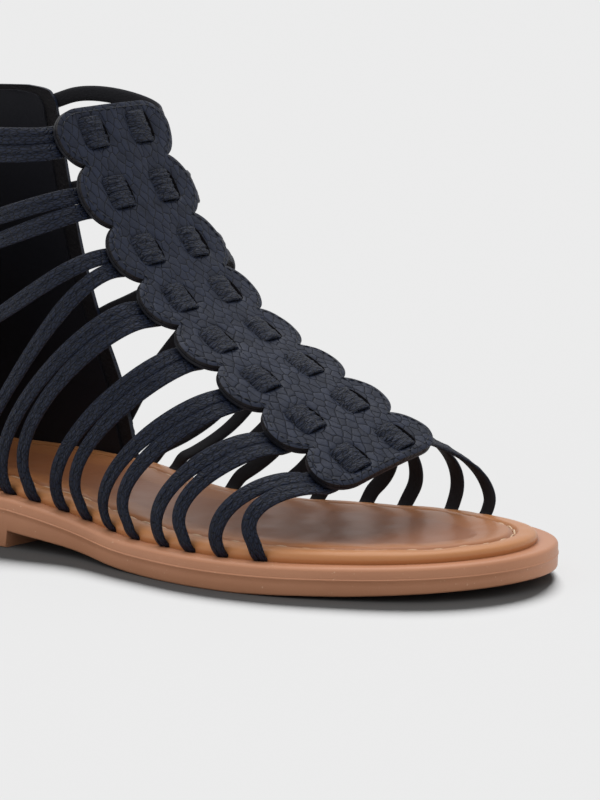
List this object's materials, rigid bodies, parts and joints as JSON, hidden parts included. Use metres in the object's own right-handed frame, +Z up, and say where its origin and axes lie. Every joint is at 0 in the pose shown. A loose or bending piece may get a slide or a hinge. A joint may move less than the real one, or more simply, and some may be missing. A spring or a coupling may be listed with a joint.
{
  "type": "gladiator sandal",
  "caption": "Child's flat gladiator sandal with a scalloped centre strip, paired straps threaded through it, a closed heel counter and a padded footbed.",
  "frame": {"origin": "on the floor, under the middle of the sandal's bounding box", "axes": "+X towards the toe, +Y towards the inner side of the foot, +Z up"},
  "size_m": [0.208, 0.0808, 0.1084],
  "materials": {
    "outsole": "moulded tan rubber, satin, fine mould texture on the side wall",
    "insole": "tan coated synthetic leather, padded, glossy, stitched round the edge",
    "embossed_leather": "navy black synthetic leather embossed with snake scales, satin",
    "strap_leather": "navy black synthetic leather, wrinkled grain, rolled edges, satin",
    "lining": "smooth dark synthetic lining, matt",
    "tan_thread": "tan sewing thread",
    "dark_thread": "navy black sewing thread"
  },
  "bodies": {
    "root": {"outsole": "outsole", "insole": "insole", "centre_strip": "embossed_leather", "heel_counter": "embossed_leather", "strap_1_rear": "strap_leather", "strap_1_front": "strap_leather", "strap_2_rear": "strap_leather", "strap_2_front": "strap_leather", "strap_3_rear": "strap_leather", "strap_3_front": "strap_leather", "strap_4_rear": "strap_leather", "strap_4_front": "strap_leather", "strap_5_rear": "strap_leather", "strap_5_front": "strap_leather", "strap_6_rear": "strap_leather", "strap_6_front": "strap_leather", "strap_7_rear": "strap_leather", "strap_7_front": "strap_leather", "strap_8_rear": "strap_leather", "strap_8_front": "strap_leather"}
  },
  "joints": []
}
